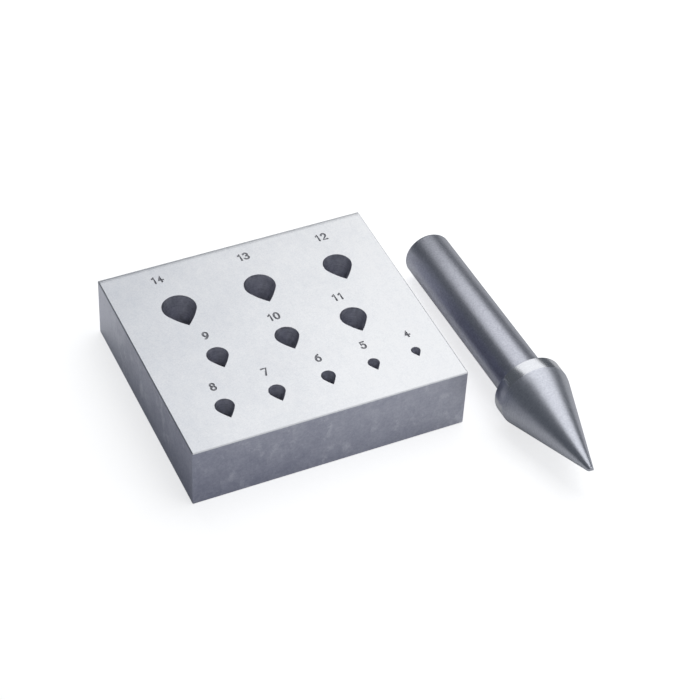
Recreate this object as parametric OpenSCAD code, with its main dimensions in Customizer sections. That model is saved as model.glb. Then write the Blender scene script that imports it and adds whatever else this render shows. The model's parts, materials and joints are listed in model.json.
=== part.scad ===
// Bezel block for pear-shaped stone settings, with its tapered steel punch lying beside it.
// Origin: centre of the block's underside. X runs along the front edge, Y to the back, Z up.

/* [Block] */
// Width of the block along its front edge
block_w = 90.5; // [84:0.5:110]
// Depth of the block from its front edge to its back edge
block_d = 81; // [76:0.5:100]
// Thickness of the block
block_h = 22; // [19:0.5:30]
// Chamfer ground on all twelve edges of the block
block_break = 0.3; // [0.2:0.1:1.2]

/* [Pear shape] */
// Lean of every tapered wall from upright, the same in the holes and on the punch, in degrees
wall_slope = 17; // [15:0.5:20]
// Angle from the pear's point round to where a flank leaves the round end, in degrees
flank_start = 60; // [54:1:66]
// Distance from the pear's axis to the centre that a flank is struck from
flank_reach = 20; // [16:1:26]

/* [Rows of holes] */
// Stamped sizes in the back row, each the length of the pear that the hole is made for
back_sizes = [14, 13, 12];
// Stamped sizes in the middle row
middle_sizes = [9, 10, 11];
// Stamped sizes in the front row
front_sizes = [8, 7, 6, 5, 4];
// Length by which the mouth of each hole is longer than its stamped size
hole_ease = 0.3; // [0:0.05:0.6]
// Places of the back row's holes to the right of the block's centre line
back_places = [-25.9, 1.4, 28.3];
// Places of the middle row's holes
middle_places = [-22.8, 0.3, 22.9];
// Places of the front row's holes
front_places = [-29, -12, 5, 20.2, 34.5];
// Distance from the front edge to the axes of the back row
back_row = 60; // [57:0.1:62]
// Distance from the front edge to the axes of the middle row
middle_row = 35.8; // [33:0.1:38]
// Distance from the front edge to the axes of the front row
front_row = 14.8; // [12:0.1:17]

/* [Knock-out holes] */
// Radius of the round hole drilled up from below, as a share of the pear's round end
knockout_share = 0.45; // [0.35:0.01:0.6]
// Chamfer at the mouth of each knock-out hole
knockout_break = 0.4; // [0.2:0.1:0.8]

/* [Punch] */
// Diameter of the shank that is held and struck
shank_d = 16; // [12:0.5:18]
// Length of the shank up to the head
shank_len = 71.5; // [50:0.5:100]
// Radius of the rounded edge at the struck end of the shank
shank_break = 1; // [0.4:0.1:2]
// Length of the pear at the widest part of the head
head_size = 28; // [25:0.5:32]
// Length of the parallel collar behind the taper
collar_len = 5; // [3:0.1:9]
// Chamfer round the back edge of the collar
collar_break = 0.3; // [0.2:0.1:0.8]
// Radius of the rounded tip of the taper
tip_r = 1.1; // [0.4:0.1:1.6]

/* [Punch at rest] */
// Space between the block's right side and the punch's head
punch_gap = 8.2; // [2:0.1:40]
// How far the punch's tip lies in front of the block's front edge
punch_lead = 43.6; // [20:0.1:60]
// Turn of the pear's point from straight down towards the right, in degrees
punch_roll = 55; // [44:1:80]

/* [Hidden] */
$fn = 120;
// Length by which a cutter passes the face that it opens
over = 1;
// Radius of the shank, and of the round end of the punch's head
shank_r = shank_d / 2;
head_r = round_r(head_size);
// The rounded tip, from where it leaves the taper to the tiny flat at its very end
tip_angles = [for (i = [0 : 3]) wall_slope + i * (80 - wall_slope) / 3];
taper_len = run(head_r - whole_um(tip_r * cos(wall_slope)));
tip_len = tip_r * (sin(80) - sin(wall_slope));
// Distance of the head's lowest line from the punch's axis, and the tilt that it gives the punch
head_rest = head_r + flank_reach * (1 - cos(max(0, flank_start - punch_roll)));
punch_tilt = atan((head_rest - shank_r) / (shank_len + collar_break - shank_break));
punch_len = shank_len + collar_len + taper_len + tip_len;
// Place of the centre of the punch's struck end
punch_x = block_w / 2 + punch_gap + head_r;
punch_y = punch_len * cos(punch_tilt) - block_d / 2 - punch_lead;
punch_z = shank_r * cos(punch_tilt) - shank_break * sin(punch_tilt);

// A radius kept to a whole micrometre, so that a flank starts exactly where the round end stops
function whole_um(r) = round(1000 * r) / 1000;

// Radius of the round end of the pear whose length is size
function round_r(size) = let (k = size + flank_reach * (1 + cos(flank_start)))
    whole_um((k * k + pow(flank_reach * sin(flank_start), 2)) / (2 * k) - flank_reach);

// Length in which a tapered wall gains the radius gain
function run(gain) = gain / tan(wall_slope);

// A solid that is a pear at every height. The profile lists the radius of the round end and the
// height, from the bottom up. The pear's point faces the front, and its flanks keep the same
// slope as its round end, because each is turned round a centre that never moves.
module pear(profile) {
    reach = 2 * (flank_reach + max([for (p = profile) p.x]));
    for (side = [0, 1]) mirror([side, 0, 0]) intersection() {
        half_space(reach);
        rotate([0, 0, flank_start]) {
            intersection() {
                turned(profile, 0);
                half_space(reach);
            }
            intersection() {
                translate([0, flank_reach, 0]) turned(profile, flank_reach);
                mirror([1, 0, 0]) half_space(reach);
            }
        }
    }
}

// The profile turned round its own axis, with every radius made larger by wider
module turned(profile, wider) {
    rotate_extrude() polygon([
        [0, profile[0].y],
        for (p = profile) [p.x + wider, p.y],
        [0, profile[len(profile) - 1].y]
    ]);
}

// All that lies to the right of the pear's axis. It is far taller than any pear that it cuts.
module half_space(reach) {
    tall = 4 * (block_h + head_size);
    translate([0, -reach, -tall]) cube([reach, 2 * reach, 2 * tall]);
}

// Cutter for one hole: the taper from the top face, and the knock-out hole from below
module pear_hole(size) {
    top_r = round_r(size + hole_ease);
    drill_r = knockout_share * top_r;
    // The taper ends inside the knock-out hole and starts above the top face
    low_r = whole_um(drill_r / 2);
    high_r = whole_um(top_r + over * tan(wall_slope));
    pear([[low_r, block_h - run(top_r - low_r)], [high_r, block_h + run(high_r - top_r)]]);
    drill_top = block_h - run((top_r - drill_r) / 2);
    translate([0, 0, -over]) cylinder(r = drill_r, h = drill_top + over);
    translate([0, 0, -over])
        cylinder(r1 = drill_r + knockout_break + over, r2 = drill_r, h = knockout_break + over);
}

module row(sizes, places, from_front) {
    for (i = [0 : len(sizes) - 1])
        translate([places[i], from_front - block_d / 2, 0]) pear_hole(sizes[i]);
}

// A rectangle with its corners cut off at 45 degrees
module cut_corners(a, b) {
    x = a / 2;
    y = b / 2;
    c = block_break;
    polygon([[x - c, -y], [x, c - y], [x, y - c], [x - c, y],
             [c - x, y], [-x, y - c], [-x, c - y], [c - x, -y]]);
}

module blank() {
    translate([0, 0, block_h / 2]) intersection() {
        linear_extrude(block_h, center = true) cut_corners(block_w, block_d);
        rotate([90, 0, 0]) linear_extrude(block_d, center = true) cut_corners(block_w, block_h);
        rotate([0, 90, 0]) linear_extrude(block_w, center = true) cut_corners(block_h, block_d);
    }
}

module block() {
    color("lightsteelblue") difference() {
        blank();
        row(back_sizes, back_places, back_row);
        row(middle_sizes, middle_places, middle_row);
        row(front_sizes, front_places, front_row);
    }
}

// The shank stands on its struck end and runs a little way into the collar
module shank() {
    rotate_extrude() polygon([
        [0, 0],
        for (a = [0 : 22.5 : 90])
            [shank_r - shank_break * (1 - sin(a)), shank_break * (1 - cos(a))],
        [shank_r, shank_len + collar_len / 2],
        [0, shank_len + collar_len / 2]
    ]);
}

// The collar with its bevelled back edge, and the taper down to the rounded tip
module head() {
    tip_start = collar_len + taper_len - tip_r * sin(wall_slope);
    pear([
        [head_r - collar_break, 0],
        [head_r, collar_break],
        [head_r, collar_len],
        for (a = tip_angles) [whole_um(tip_r * cos(a)), tip_start + tip_r * sin(a)]
    ]);
}

// The punch lies on the bench on its struck end's rim and the back of its collar
module punch() {
    color("slategray")
        translate([punch_x, punch_y, punch_z])
            rotate([90 - punch_tilt, 0, 0])
                rotate([0, 0, punch_roll]) {
                    shank();
                    translate([0, 0, shank_len]) head();
                }
}

block();
punch();
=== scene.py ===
import json
import math

import bpy
from mathutils import Matrix, Vector


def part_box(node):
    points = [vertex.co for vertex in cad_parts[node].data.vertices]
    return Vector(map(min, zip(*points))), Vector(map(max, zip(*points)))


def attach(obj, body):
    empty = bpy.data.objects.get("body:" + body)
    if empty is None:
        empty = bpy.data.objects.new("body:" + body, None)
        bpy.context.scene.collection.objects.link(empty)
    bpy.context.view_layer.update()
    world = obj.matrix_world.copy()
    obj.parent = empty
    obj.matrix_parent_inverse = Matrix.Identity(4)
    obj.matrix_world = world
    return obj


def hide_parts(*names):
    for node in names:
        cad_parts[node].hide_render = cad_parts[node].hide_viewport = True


# A steel bezel block with stamped sizes, and its taper punch lying beside it.
# Metres, in the part's own frame: X runs along the front edge, Y to the back row, Z up.
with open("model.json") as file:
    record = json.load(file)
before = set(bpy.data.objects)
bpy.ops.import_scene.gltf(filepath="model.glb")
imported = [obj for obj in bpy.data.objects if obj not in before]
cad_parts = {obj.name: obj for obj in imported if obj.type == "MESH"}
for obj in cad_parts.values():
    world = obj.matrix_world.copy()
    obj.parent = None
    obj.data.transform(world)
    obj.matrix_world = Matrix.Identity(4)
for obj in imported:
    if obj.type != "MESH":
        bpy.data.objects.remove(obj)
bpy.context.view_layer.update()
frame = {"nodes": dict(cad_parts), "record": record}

MM = 0.001

# The block's box, from the part
block_low, block_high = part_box("block")
top_z = block_high.z

# The punch's own axis, from its struck end to its tip
shank_mount = next(m for m in frame["record"]["mounts"] if m["name"] == "shank")
shank_middle = Vector(shank_mount["pos_m"])
toward_tip = -Vector(shank_mount["axis"]).normalized()
# Half of the shank's width and a little more, and how far a face leans towards the tip at most
# where it is parallel to the axis and at least where it is tapered, as the sine of its angle
past_shank = 8.5 * MM
parallel = 0.1
tapered = 0.2

# The top face falls away gently to its back edge: width and fall of each step, from the edge in
dubbed_steps = [
    (0.6 * MM, 0.09 * MM), (0.5 * MM, 0.06 * MM),
    (0.6 * MM, 0.035 * MM), (0.5 * MM, 0.015 * MM),
]
dubbed_width = sum(step for step, fall in dubbed_steps)

# Numerals: height, width of one digit, step from one digit to the next
digit_height = 2.8 * MM
digit_width = 1.55 * MM
digit_step = 1.95 * MM
# Half the width of the rounded tool that cuts them, and how far its middle stays above the face
cutter_radius = 0.4 * MM
cutter_lift = 0.15 * MM
# Angles at which the tool's round ends are ringed, and the angle from point to point of an arc
ring_angles = (86, 60, 30)
arc_step = 24

# Each size with the middle of its numeral, to the right of the block's centre and behind it
numerals = [
    (14, -27.7, 33.9), (13, 1.7, 33.9), (12, 28.7, 33.3),
    (9, -23.0, 4.6), (10, -0.2, 4.6), (11, 22.2, 5.4),
    (8, -29.3, -16.9), (7, -12.2, -16.9), (6, 5.1, -17.5), (5, 20.3, -17.5), (4, 35.0, -17.9),
]

# How the block's faces are told apart: how close a face lies to the top or the underside, how far
# the chamfers reach in from the block's box, and how deep the numerals' floors lie at most
on_face = 0.02 * MM
chamfer_reach = 0.5 * MM
numeral_reach = 0.4 * MM
# The upright part of a normal: of a level face, of a dubbed step, of an upright face, and more than
# that of the holes' leaning walls
level = 0.999
dubbed = 0.95
upright = 0.1
past_wall = 0.32


def deselect():
    bpy.ops.object.select_all(action="DESELECT")


def only(piece):
    """Selects one object and makes it the active one."""
    deselect()
    piece.select_set(True)
    bpy.context.view_layer.objects.active = piece


def modify(piece, kind, **settings):
    """Adds a modifier to a piece and applies it."""
    only(piece)
    made = piece.modifiers.new(kind.lower(), kind)
    for name, value in settings.items():
        setattr(made, name, value)
    bpy.ops.object.modifier_apply(modifier=made.name)


def copy_of_node(node, name):
    """A merged copy of a node of the part, to be worked on as a piece of its own."""
    source = frame["nodes"][node]
    piece = source.copy()
    piece.data = source.data.copy()
    piece.name = piece.data.name = name
    piece.parent = None
    for key in list(piece.keys()):
        del piece[key]
    bpy.context.scene.collection.objects.link(piece)
    piece.matrix_world = Matrix.Identity(4)
    piece.data.materials.clear()
    only(piece)
    bpy.ops.mesh.customdata_custom_splitnormals_clear()
    bpy.ops.object.mode_set(mode="EDIT")
    bpy.ops.mesh.select_all(action="SELECT")
    bpy.ops.mesh.remove_doubles(threshold=0.0005 * MM)
    bpy.ops.object.mode_set(mode="OBJECT")
    return piece


# Numerals, drawn as the path of a rounded cutter. A digit is 1 high and fills 0 to 1 across.

def bow(middle, half_wide, half_high, start, end):
    """Points on an elliptical arc, with angles in degrees, counter-clockwise from the right."""
    steps = max(4, round(abs(end - start) / arc_step))
    angles = [math.radians(start + (end - start) * i / steps) for i in range(steps + 1)]
    return [(middle[0] + half_wide * math.cos(a), middle[1] + half_high * math.sin(a)) for a in angles]


def digit_strokes(digit):
    """The strokes of one digit, each a list of points."""
    if digit == 0:
        return [bow((0.5, 0.5), 0.5, 0.5, 90, 450)]
    if digit == 1:
        return [[(0.16, 0.78), (0.52, 1.0), (0.52, 0.0)]]
    if digit == 2:
        return [bow((0.5, 0.7), 0.45, 0.3, 165, -35) + [(0.04, 0.0), (1.0, 0.0)]]
    if digit == 3:
        return [bow((0.46, 0.76), 0.42, 0.24, 160, -80), bow((0.46, 0.27), 0.5, 0.27, 85, -160)]
    if digit == 4:
        return [[(0.98, 0.3), (0.06, 0.3), (0.64, 1.0), (0.64, 0.0)], [(0.4, 0.42), (0.6, 0.62)]]
    if digit == 5:
        return [[(0.92, 1.0), (0.18, 1.0), (0.1, 0.5)] + bow((0.46, 0.33), 0.5, 0.33, 125, -150)]
    if digit == 6:
        return [bow((0.5, 0.32), 0.46, 0.32, 0, 360), bow((0.95, 0.32), 0.91, 0.68, 180, 98)]
    if digit == 7:
        return [[(0.0, 1.0), (1.0, 1.0), (0.36, 0.0)]]
    if digit == 8:
        return [bow((0.5, 0.76), 0.4, 0.24, 0, 360), bow((0.5, 0.26), 0.48, 0.27, 0, 360)]
    return [bow((0.5, 0.68), 0.46, 0.32, 0, 360), bow((0.05, 0.68), 0.91, 0.68, 0, -82)]


def rounded_cutter(points):
    """A closed tube with round ends along a path at the block's top face."""
    flat = [Vector((x, y, top_z + cutter_lift)) for x, y in points]
    closed = (flat[0] - flat[-1]).length < 0.001 * MM
    path = bpy.data.curves.new("cutter", "CURVE")
    path.dimensions = "3D"
    path.bevel_depth = cutter_radius
    path.bevel_resolution = 2
    path.use_fill_caps = True
    line = path.splines.new("POLY")
    if closed:
        line.use_cyclic_u = True
        route = [(p, 1.0) for p in flat[:-1]]
    else:
        rim = [(math.sin(math.radians(a)), math.cos(math.radians(a))) for a in ring_angles]
        back = (flat[0] - flat[1]).normalized() * cutter_radius
        ahead = (flat[-1] - flat[-2]).normalized() * cutter_radius
        route = [(flat[0] + back * out, share) for out, share in rim]
        route += [(p, 1.0) for p in flat]
        route += [(flat[-1] + ahead * out, share) for out, share in reversed(rim)]
    line.points.add(len(route) - 1)
    for point, (place, share) in zip(line.points, route):
        point.co = (*place, 1.0)
        point.radius = share
    tool = bpy.data.objects.new("cutter", path)
    bpy.context.scene.collection.objects.link(tool)
    only(tool)
    bpy.ops.object.convert(target="MESH")
    return bpy.context.view_layer.objects.active


def numeral_cutters():
    """One closed tool for each stroke of each numeral."""
    tools = []
    for size, right, behind in numerals:
        digits = [int(c) for c in str(size)]
        left = right * MM - ((len(digits) - 1) * digit_step + digit_width) / 2
        for i, digit in enumerate(digits):
            for stroke in digit_strokes(digit):
                tools.append(rounded_cutter([
                    (left + i * digit_step + x * digit_width, behind * MM + (y - 0.5) * digit_height)
                    for x, y in stroke]))
    return tools


def join(pieces):
    """Makes several objects into one."""
    deselect()
    for piece in pieces:
        piece.select_set(True)
    bpy.context.view_layer.objects.active = pieces[0]
    bpy.ops.object.join()
    return bpy.context.view_layer.objects.active


class Wire:
    """A socket of a material's nodes. Arithmetic on it adds Math nodes."""

    def __init__(self, tree, socket):
        self.tree = tree
        self.socket = socket

    def node(self, kind, settings=None, inputs=None, out=0):
        """Adds a node: its settings first, then the values or wires of its sockets."""
        made = self.tree.nodes.new(kind)
        for name, setting in (settings or {}).items():
            setattr(made, name, setting)
        for name, value in (inputs or {}).items():
            if isinstance(value, Wire):
                self.tree.links.new(value.socket, made.inputs[name])
            else:
                made.inputs[name].default_value = value
        return Wire(self.tree, made.outputs[out])

    def math(self, operation, *values):
        return self.node("ShaderNodeMath", {"operation": operation}, dict(enumerate(values)))

    def __add__(self, other):
        return self.math("ADD", self, other)

    def __radd__(self, other):
        return self.math("ADD", other, self)

    def __sub__(self, other):
        return self.math("SUBTRACT", self, other)

    def __rsub__(self, other):
        return self.math("SUBTRACT", other, self)

    def __mul__(self, other):
        return self.math("MULTIPLY", self, other)

    def __rmul__(self, other):
        return self.math("MULTIPLY", other, self)

    def over(self, low, high):
        """0 at low, 1 at high, and a straight line between."""
        return self.node("ShaderNodeMapRange", {"clamp": True},
                         {"Value": self, "From Min": low, "From Max": high})

    def mix(self, first, second):
        """A colour between two colours, by this value."""
        return self.node("ShaderNodeMix", {"data_type": "RGBA"},
                         {0: self, 6: (*first, 1.0), 7: (*second, 1.0)}, 2)

    def along(self, direction):
        """How far a place lies in one direction."""
        return self.node("ShaderNodeVectorMath", {"operation": "DOT_PRODUCT"},
                         {0: self, 1: tuple(direction)}, 1)

    def stretched(self, x, y, z):
        """The place, scaled by a different amount each way."""
        return self.node("ShaderNodeMapping", {"vector_type": "POINT"},
                         {"Vector": self, "Scale": (x, y, z)})

    def noise(self, scale, detail=2.0, roughness=0.5):
        return self.node("ShaderNodeTexNoise", {"noise_dimensions": "3D"},
                         {"Vector": self, "Scale": scale, "Detail": detail, "Roughness": roughness})


def steel(name, make):
    """A metal whose colour, roughness and relief are made by a function of the place."""
    material = bpy.data.materials.new(name)
    material.use_nodes = True
    tree = material.node_tree
    shader = tree.nodes["Principled BSDF"]
    shader.inputs["Metallic"].default_value = 1.0
    place = Wire(tree, tree.nodes.new("ShaderNodeTexCoord").outputs["Object"])
    colour, rough, relief, height = make(place)
    tree.links.new(colour.socket, shader.inputs["Base Color"])
    tree.links.new(rough.socket, shader.inputs["Roughness"])
    bump = relief.node("ShaderNodeBump", None, {"Height": relief, "Strength": 1.0, "Distance": height})
    tree.links.new(bump.socket, shader.inputs["Normal"])
    return material


def ground_top(place):
    """Surface-ground steel: fine straight lines along X, grain, mottled patches, cloudy blotches and a
    painted light that pales the top towards the right and the front.
    """
    lines = place.stretched(40, 5200, 1).noise(1.0, 3.0, 0.6)
    grain = place.noise(2300, 2.0, 0.8)
    mottle = place.stretched(380, 200, 1).noise(1.0, 3.0, 0.65)
    clouds = place.noise(48, 3.0, 0.6)
    # Painted light: the straight part makes the top paler towards the right and the front, in place of
    # the lamp's reflection fading to the left and back. The clouds are blotches of the steel's own
    # tone.
    blotches_and_painted_light = place.along((8.0, -3.0, 0)) + clouds * 0.5
    shade = 0.15 * lines + 0.6 * mottle + 0.9 * grain + 0.6 * blotches_and_painted_light.over(-0.3, 0.5)
    colour = shade.over(0.7, 1.5).mix((0.63, 0.65, 0.69), (0.88, 0.885, 0.895))
    rough = 0.3 + 0.1 * lines + 0.1 * mottle
    return colour, rough, lines, 0.003 * MM


def milled_side(place):
    """The block's sides: darker and bluer, with cloudy patches, upright streaks and pale scuffs.

    They are painted paler towards the right, the back and the top: painted light for the lit floor
    that they mirror, which is brighter there. That would leave the right side and the back side
    too pale, so those two are set darker again as a whole; the right side's darkness is painted
    shade, which the punch's flank mirrors.
    """
    clouds = place.noise(120, 6.0, 0.66)
    streaks = place.stretched(420, 420, 45).noise(1.0, 4.0, 0.65)
    grain = place.noise(1100, 4.0, 0.8)
    scuffs = place.stretched(170, 170, 110).noise(1.0, 6.0, 0.72).over(0.55, 0.7)
    right = place.along((1, 0, 0))
    behind = place.along((0, 1, 0))
    right_side = right.over(block_high.x - 0.06 * MM, block_high.x - 0.04 * MM)
    back_side = behind.over(block_high.y - 0.06 * MM, block_high.y - 0.04 * MM)
    # Painted light and shade: paler towards the right, the back and the top, in place of the lit floor
    # that the sides mirror; then darker as a whole on the right and back sides, and on the right that
    # is painted shade for the punch's flank to mirror.
    painted_light_and_shade = place.along((4.0, 7.0, 6.0)) + 0.25 * behind.over(5 * MM, 35 * MM)
    painted_light_and_shade = painted_light_and_shade - 0.7 * (right_side + back_side)
    shade = 0.7 * clouds + 0.2 * streaks + 0.9 * grain + 0.45 * scuffs + painted_light_and_shade
    colour = shade.over(0.38, 1.33).mix((0.44, 0.455, 0.57), (0.915, 0.925, 1.0))
    rough = 0.34 + 0.16 * clouds
    return colour, rough, streaks + grain, 0.004 * MM


def ground_edge(place):
    """The narrow ground chamfers round the block."""
    fine = place.noise(900, 3.0, 0.6)
    colour = fine.over(0.3, 0.7).mix((0.7, 0.71, 0.74), (0.82, 0.83, 0.85))
    rough = 0.26 + 0.1 * fine
    return colour, rough, fine, 0.003 * MM


def tapered_wall(place):
    """The walls of the holes, fine-ground round and round, with bright specks."""
    fine = place.noise(900, 4.0, 0.7)
    rings = place.stretched(40, 40, 2400).noise(1.0, 2.0, 0.6)
    shade = 0.6 * fine + 0.4 * rings
    colour = shade.over(0.3, 0.7).mix((0.38, 0.385, 0.435), (0.74, 0.745, 0.8))
    rough = 0.34 + 0.14 * fine
    return colour, rough, shade, 0.008 * MM


def stamped(place):
    """The floor of a numeral, dull and darkened."""
    fine = place.noise(1500, 3.0, 0.6)
    colour = fine.over(0.3, 0.7).mix((0.28, 0.28, 0.305), (0.44, 0.44, 0.47))
    rough = 0.55 + 0.1 * fine
    return colour, rough, fine, 0.01 * MM


def turned_shank(place):
    """The punch's shank, dark and satin: faint rings left by turning, and a fine sparkle."""
    rings = (place.along(toward_tip) * 2600).noise(1.0, 2.0, 0.6)
    fine = place.noise(1800, 3.0, 0.8)
    cloud = place.noise(70, 3.0, 0.6)
    shade = 0.15 * rings + 0.75 * fine + 0.1 * cloud
    colour = shade.over(0.3, 0.7).mix((0.37, 0.38, 0.44), (0.72, 0.73, 0.79))
    rough = 0.3 + 0.1 * fine
    return colour, rough, 0.3 * rings + 0.7 * fine, 0.004 * MM


def ground_collar(place):
    """The collar, ground bright."""
    fine = place.noise(1300, 3.0, 0.65)
    colour = fine.over(0.3, 0.7).mix((0.66, 0.67, 0.7), (0.73, 0.74, 0.765))
    rough = 0.2 + 0.06 * fine
    return colour, rough, fine, 0.002 * MM


def ground_taper(place):
    """The taper, ground finer and brighter than the shank, with fine lines round it."""
    rings = (place.along(toward_tip) * 3200).noise(1.0, 3.0, 0.6)
    fine = place.noise(1700, 3.0, 0.65)
    shade = 0.4 * rings + 0.6 * fine
    colour = shade.over(0.3, 0.7).mix((0.47, 0.485, 0.545), (0.75, 0.765, 0.82))
    rough = 0.34 + 0.08 * fine
    return colour, rough, shade, 0.003 * MM


def dress(piece, materials, choose):
    """Gives each face one of the materials, by its middle and its normal."""
    for material in materials:
        piece.data.materials.append(material)
    for face in piece.data.polygons:
        face.material_index = choose(face)


def rounding_tool():
    """A box whose top falls away to its edges in gentle steps. The block meets only the back ones."""
    past_back = 0.1 * MM
    past_top = 0.01 * MM
    clear = MM
    depth = 40 * MM
    back = block_high.y + past_back
    front = block_low.y - dubbed_width - clear
    width = 2 * (block_high.x + dubbed_width + clear)
    start = top_z + past_top - sum(fall for step, fall in dubbed_steps)
    bpy.ops.mesh.primitive_cube_add(size=1.0, location=(0, (back + front) / 2, start - depth / 2))
    tool = bpy.context.view_layer.objects.active
    tool.scale = (width, back - front, depth)
    bpy.ops.object.transform_apply(location=True, rotation=False, scale=True)
    only(tool)
    bpy.ops.object.mode_set(mode="EDIT")
    bpy.ops.mesh.select_mode(type="FACE")
    bpy.ops.mesh.select_all(action="DESELECT")
    bpy.ops.object.mode_set(mode="OBJECT")
    for face in tool.data.polygons:
        face.select = face.normal.z > level
    bpy.ops.object.mode_set(mode="EDIT")
    for step, fall in dubbed_steps:
        bpy.ops.mesh.inset(thickness=step)
        bpy.ops.transform.translate(value=(0, 0, fall))
    bpy.ops.object.mode_set(mode="OBJECT")
    return tool


def cut(piece, operation, tool):
    """Cuts a piece with a tool, and takes the tool away."""
    tool.data.materials.clear()
    modify(piece, "BOOLEAN", operation=operation, solver="EXACT", object=tool, use_self=True)
    bpy.data.objects.remove(tool)


def make_block():
    """The block with its dubbed back edge and its stamped numerals."""
    piece = copy_of_node("block", "steel_block")
    cut(piece, "INTERSECT", rounding_tool())
    cut(piece, "DIFFERENCE", join(numeral_cutters()))
    return piece


def block_face(face):
    """0 top and underside, 1 sides and upright chamfers, 2 other chamfers, 3 hole walls, 4 numerals."""
    middle, normal = face.center, face.normal
    from_edge = min(block_high.x - abs(middle.x), block_high.y - abs(middle.y))
    if normal.z > level and middle.z > top_z - on_face:
        return 0
    if normal.z > dubbed and from_edge < dubbed_width:
        return 0
    if normal.z < -level and middle.z < on_face:
        return 0
    if from_edge < chamfer_reach:
        return 1 if abs(normal.z) < upright else 2
    if middle.z > top_z - numeral_reach and abs(normal.z) > past_wall:
        return 4
    return 3


block = make_block()
dress(block, [steel("ground_top", ground_top), steel("milled_side", milled_side),
              steel("ground_edge", ground_edge), steel("tapered_wall", tapered_wall),
              steel("stamped", stamped)], block_face)
only(block)
bpy.ops.object.shade_smooth_by_angle(angle=math.radians(20))
for face in block.data.polygons:
    if face.material_index < 3:
        face.use_smooth = False


def punch_face(face):
    """0 for the shank and the collar's back, 1 the collar's parallel part, 2 the taper."""
    out = face.center - shank_middle
    out -= toward_tip * out.dot(toward_tip)
    lean = face.normal.dot(toward_tip)
    if abs(lean) < parallel and out.length > past_shank:
        return 1
    return 2 if lean > tapered else 0


punch = copy_of_node("punch", "taper_punch")
dress(punch, [steel("turned_shank", turned_shank), steel("ground_collar", ground_collar),
              steel("ground_taper", ground_taper)], punch_face)
only(punch)
bpy.ops.object.shade_smooth_by_angle(angle=math.radians(26))

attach(block, "block_body")
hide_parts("block")
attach(punch, "punch_body")
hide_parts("punch")


def pale_floor():
    """A floor that is white to the camera and keeps the object's soft shadow."""
    bpy.ops.mesh.primitive_plane_add(size=6.0, location=(0, 0, 0))
    floor = bpy.context.view_layer.objects.active
    floor.name = "floor"
    material = bpy.data.materials.new("pale_floor")
    material.use_nodes = True
    tree = material.node_tree
    shader = tree.nodes["Principled BSDF"]
    shader.inputs["Base Color"].default_value = (0.8, 0.8, 0.8, 1)
    shader.inputs["Roughness"].default_value = 0.9
    shader.inputs["Specular IOR Level"].default_value = 0.1
    rays = tree.nodes.new("ShaderNodeLightPath")
    seen = Wire(tree, rays.outputs["Is Camera Ray"])
    mirrored = Wire(tree, rays.outputs["Is Glossy Ray"])
    through = Wire(tree, rays.outputs["Is Transmission Ray"])
    glow = 0.7 * seen + 0.06 * mirrored + 0.06 * through
    shader.inputs["Emission Strength"].default_value = 1.0
    tree.links.new(glow.socket, shader.inputs["Emission Color"])
    floor.data.materials.append(material)


pale_floor()


def softbox(name, place, target, width, height, radiance, turn=0):
    """A flat lamp that faces a target. A lamp's power is its radiance times its area times pi."""
    lamp = bpy.data.lights.new(name, "AREA")
    lamp.shape = "RECTANGLE"
    lamp.size = width
    lamp.size_y = height
    lamp.energy = radiance * width * height * math.pi
    thing = bpy.data.objects.new(name, lamp)
    facing = (Vector(target) - Vector(place)).to_track_quat("-Z", "Y").to_matrix()
    facing = facing @ Matrix.Rotation(math.radians(turn), 3, "Z")
    thing.matrix_world = Matrix.Translation(place) @ facing.to_4x4()
    bpy.context.scene.collection.objects.link(thing)


# The large lamp hangs level above the object, behind it and to its right. The others fill its front.
softbox("overhead", (0.28, 0.25, 0.45), (0.28, 0.25, 0), 0.72, 0.8, 1.13, 19)
softbox("front_fill", (0.25, -0.6, 0.52), (0, 0, 0), 0.5, 0.4, 0.8)
softbox("low_right", (0.55, -0.46, 0.2), (0, 0, 0.02), 0.3, 0.25, 2.0)

world = bpy.data.worlds.new("studio")
world.use_nodes = True
bpy.context.scene.world = world
world_tree = world.node_tree
background = world_tree.nodes["Background"]
background.inputs["Strength"].default_value = 1.0
seen = Wire(world_tree, world_tree.nodes.new("ShaderNodeLightPath").outputs["Is Camera Ray"])
sky = seen.mix((0.1, 0.11, 0.125), (1.0, 1.0, 1.0))
world_tree.links.new(sky.socket, background.inputs["Color"])

# Camera: as the photograph was taken
camera_place = (-0.2080, -0.4603, 0.5032)
camera_turn = 26.83
camera_down = 44.15
camera_roll = 3.35
camera_lens = 115.5

camera_data = bpy.data.cameras.new("camera")
camera_data.sensor_width = 36.0
camera_data.lens = camera_lens
camera = bpy.data.objects.new("camera", camera_data)
turn = Matrix.Rotation(math.radians(-camera_turn), 4, "Z")
tip = Matrix.Rotation(math.radians(90 - camera_down), 4, "X")
roll = Matrix.Rotation(math.radians(camera_roll), 4, "Z")
camera.matrix_world = Matrix.Translation(camera_place) @ turn @ tip @ roll
bpy.context.scene.collection.objects.link(camera)
bpy.context.scene.camera = camera
bpy.context.scene.view_settings.view_transform = "Standard"
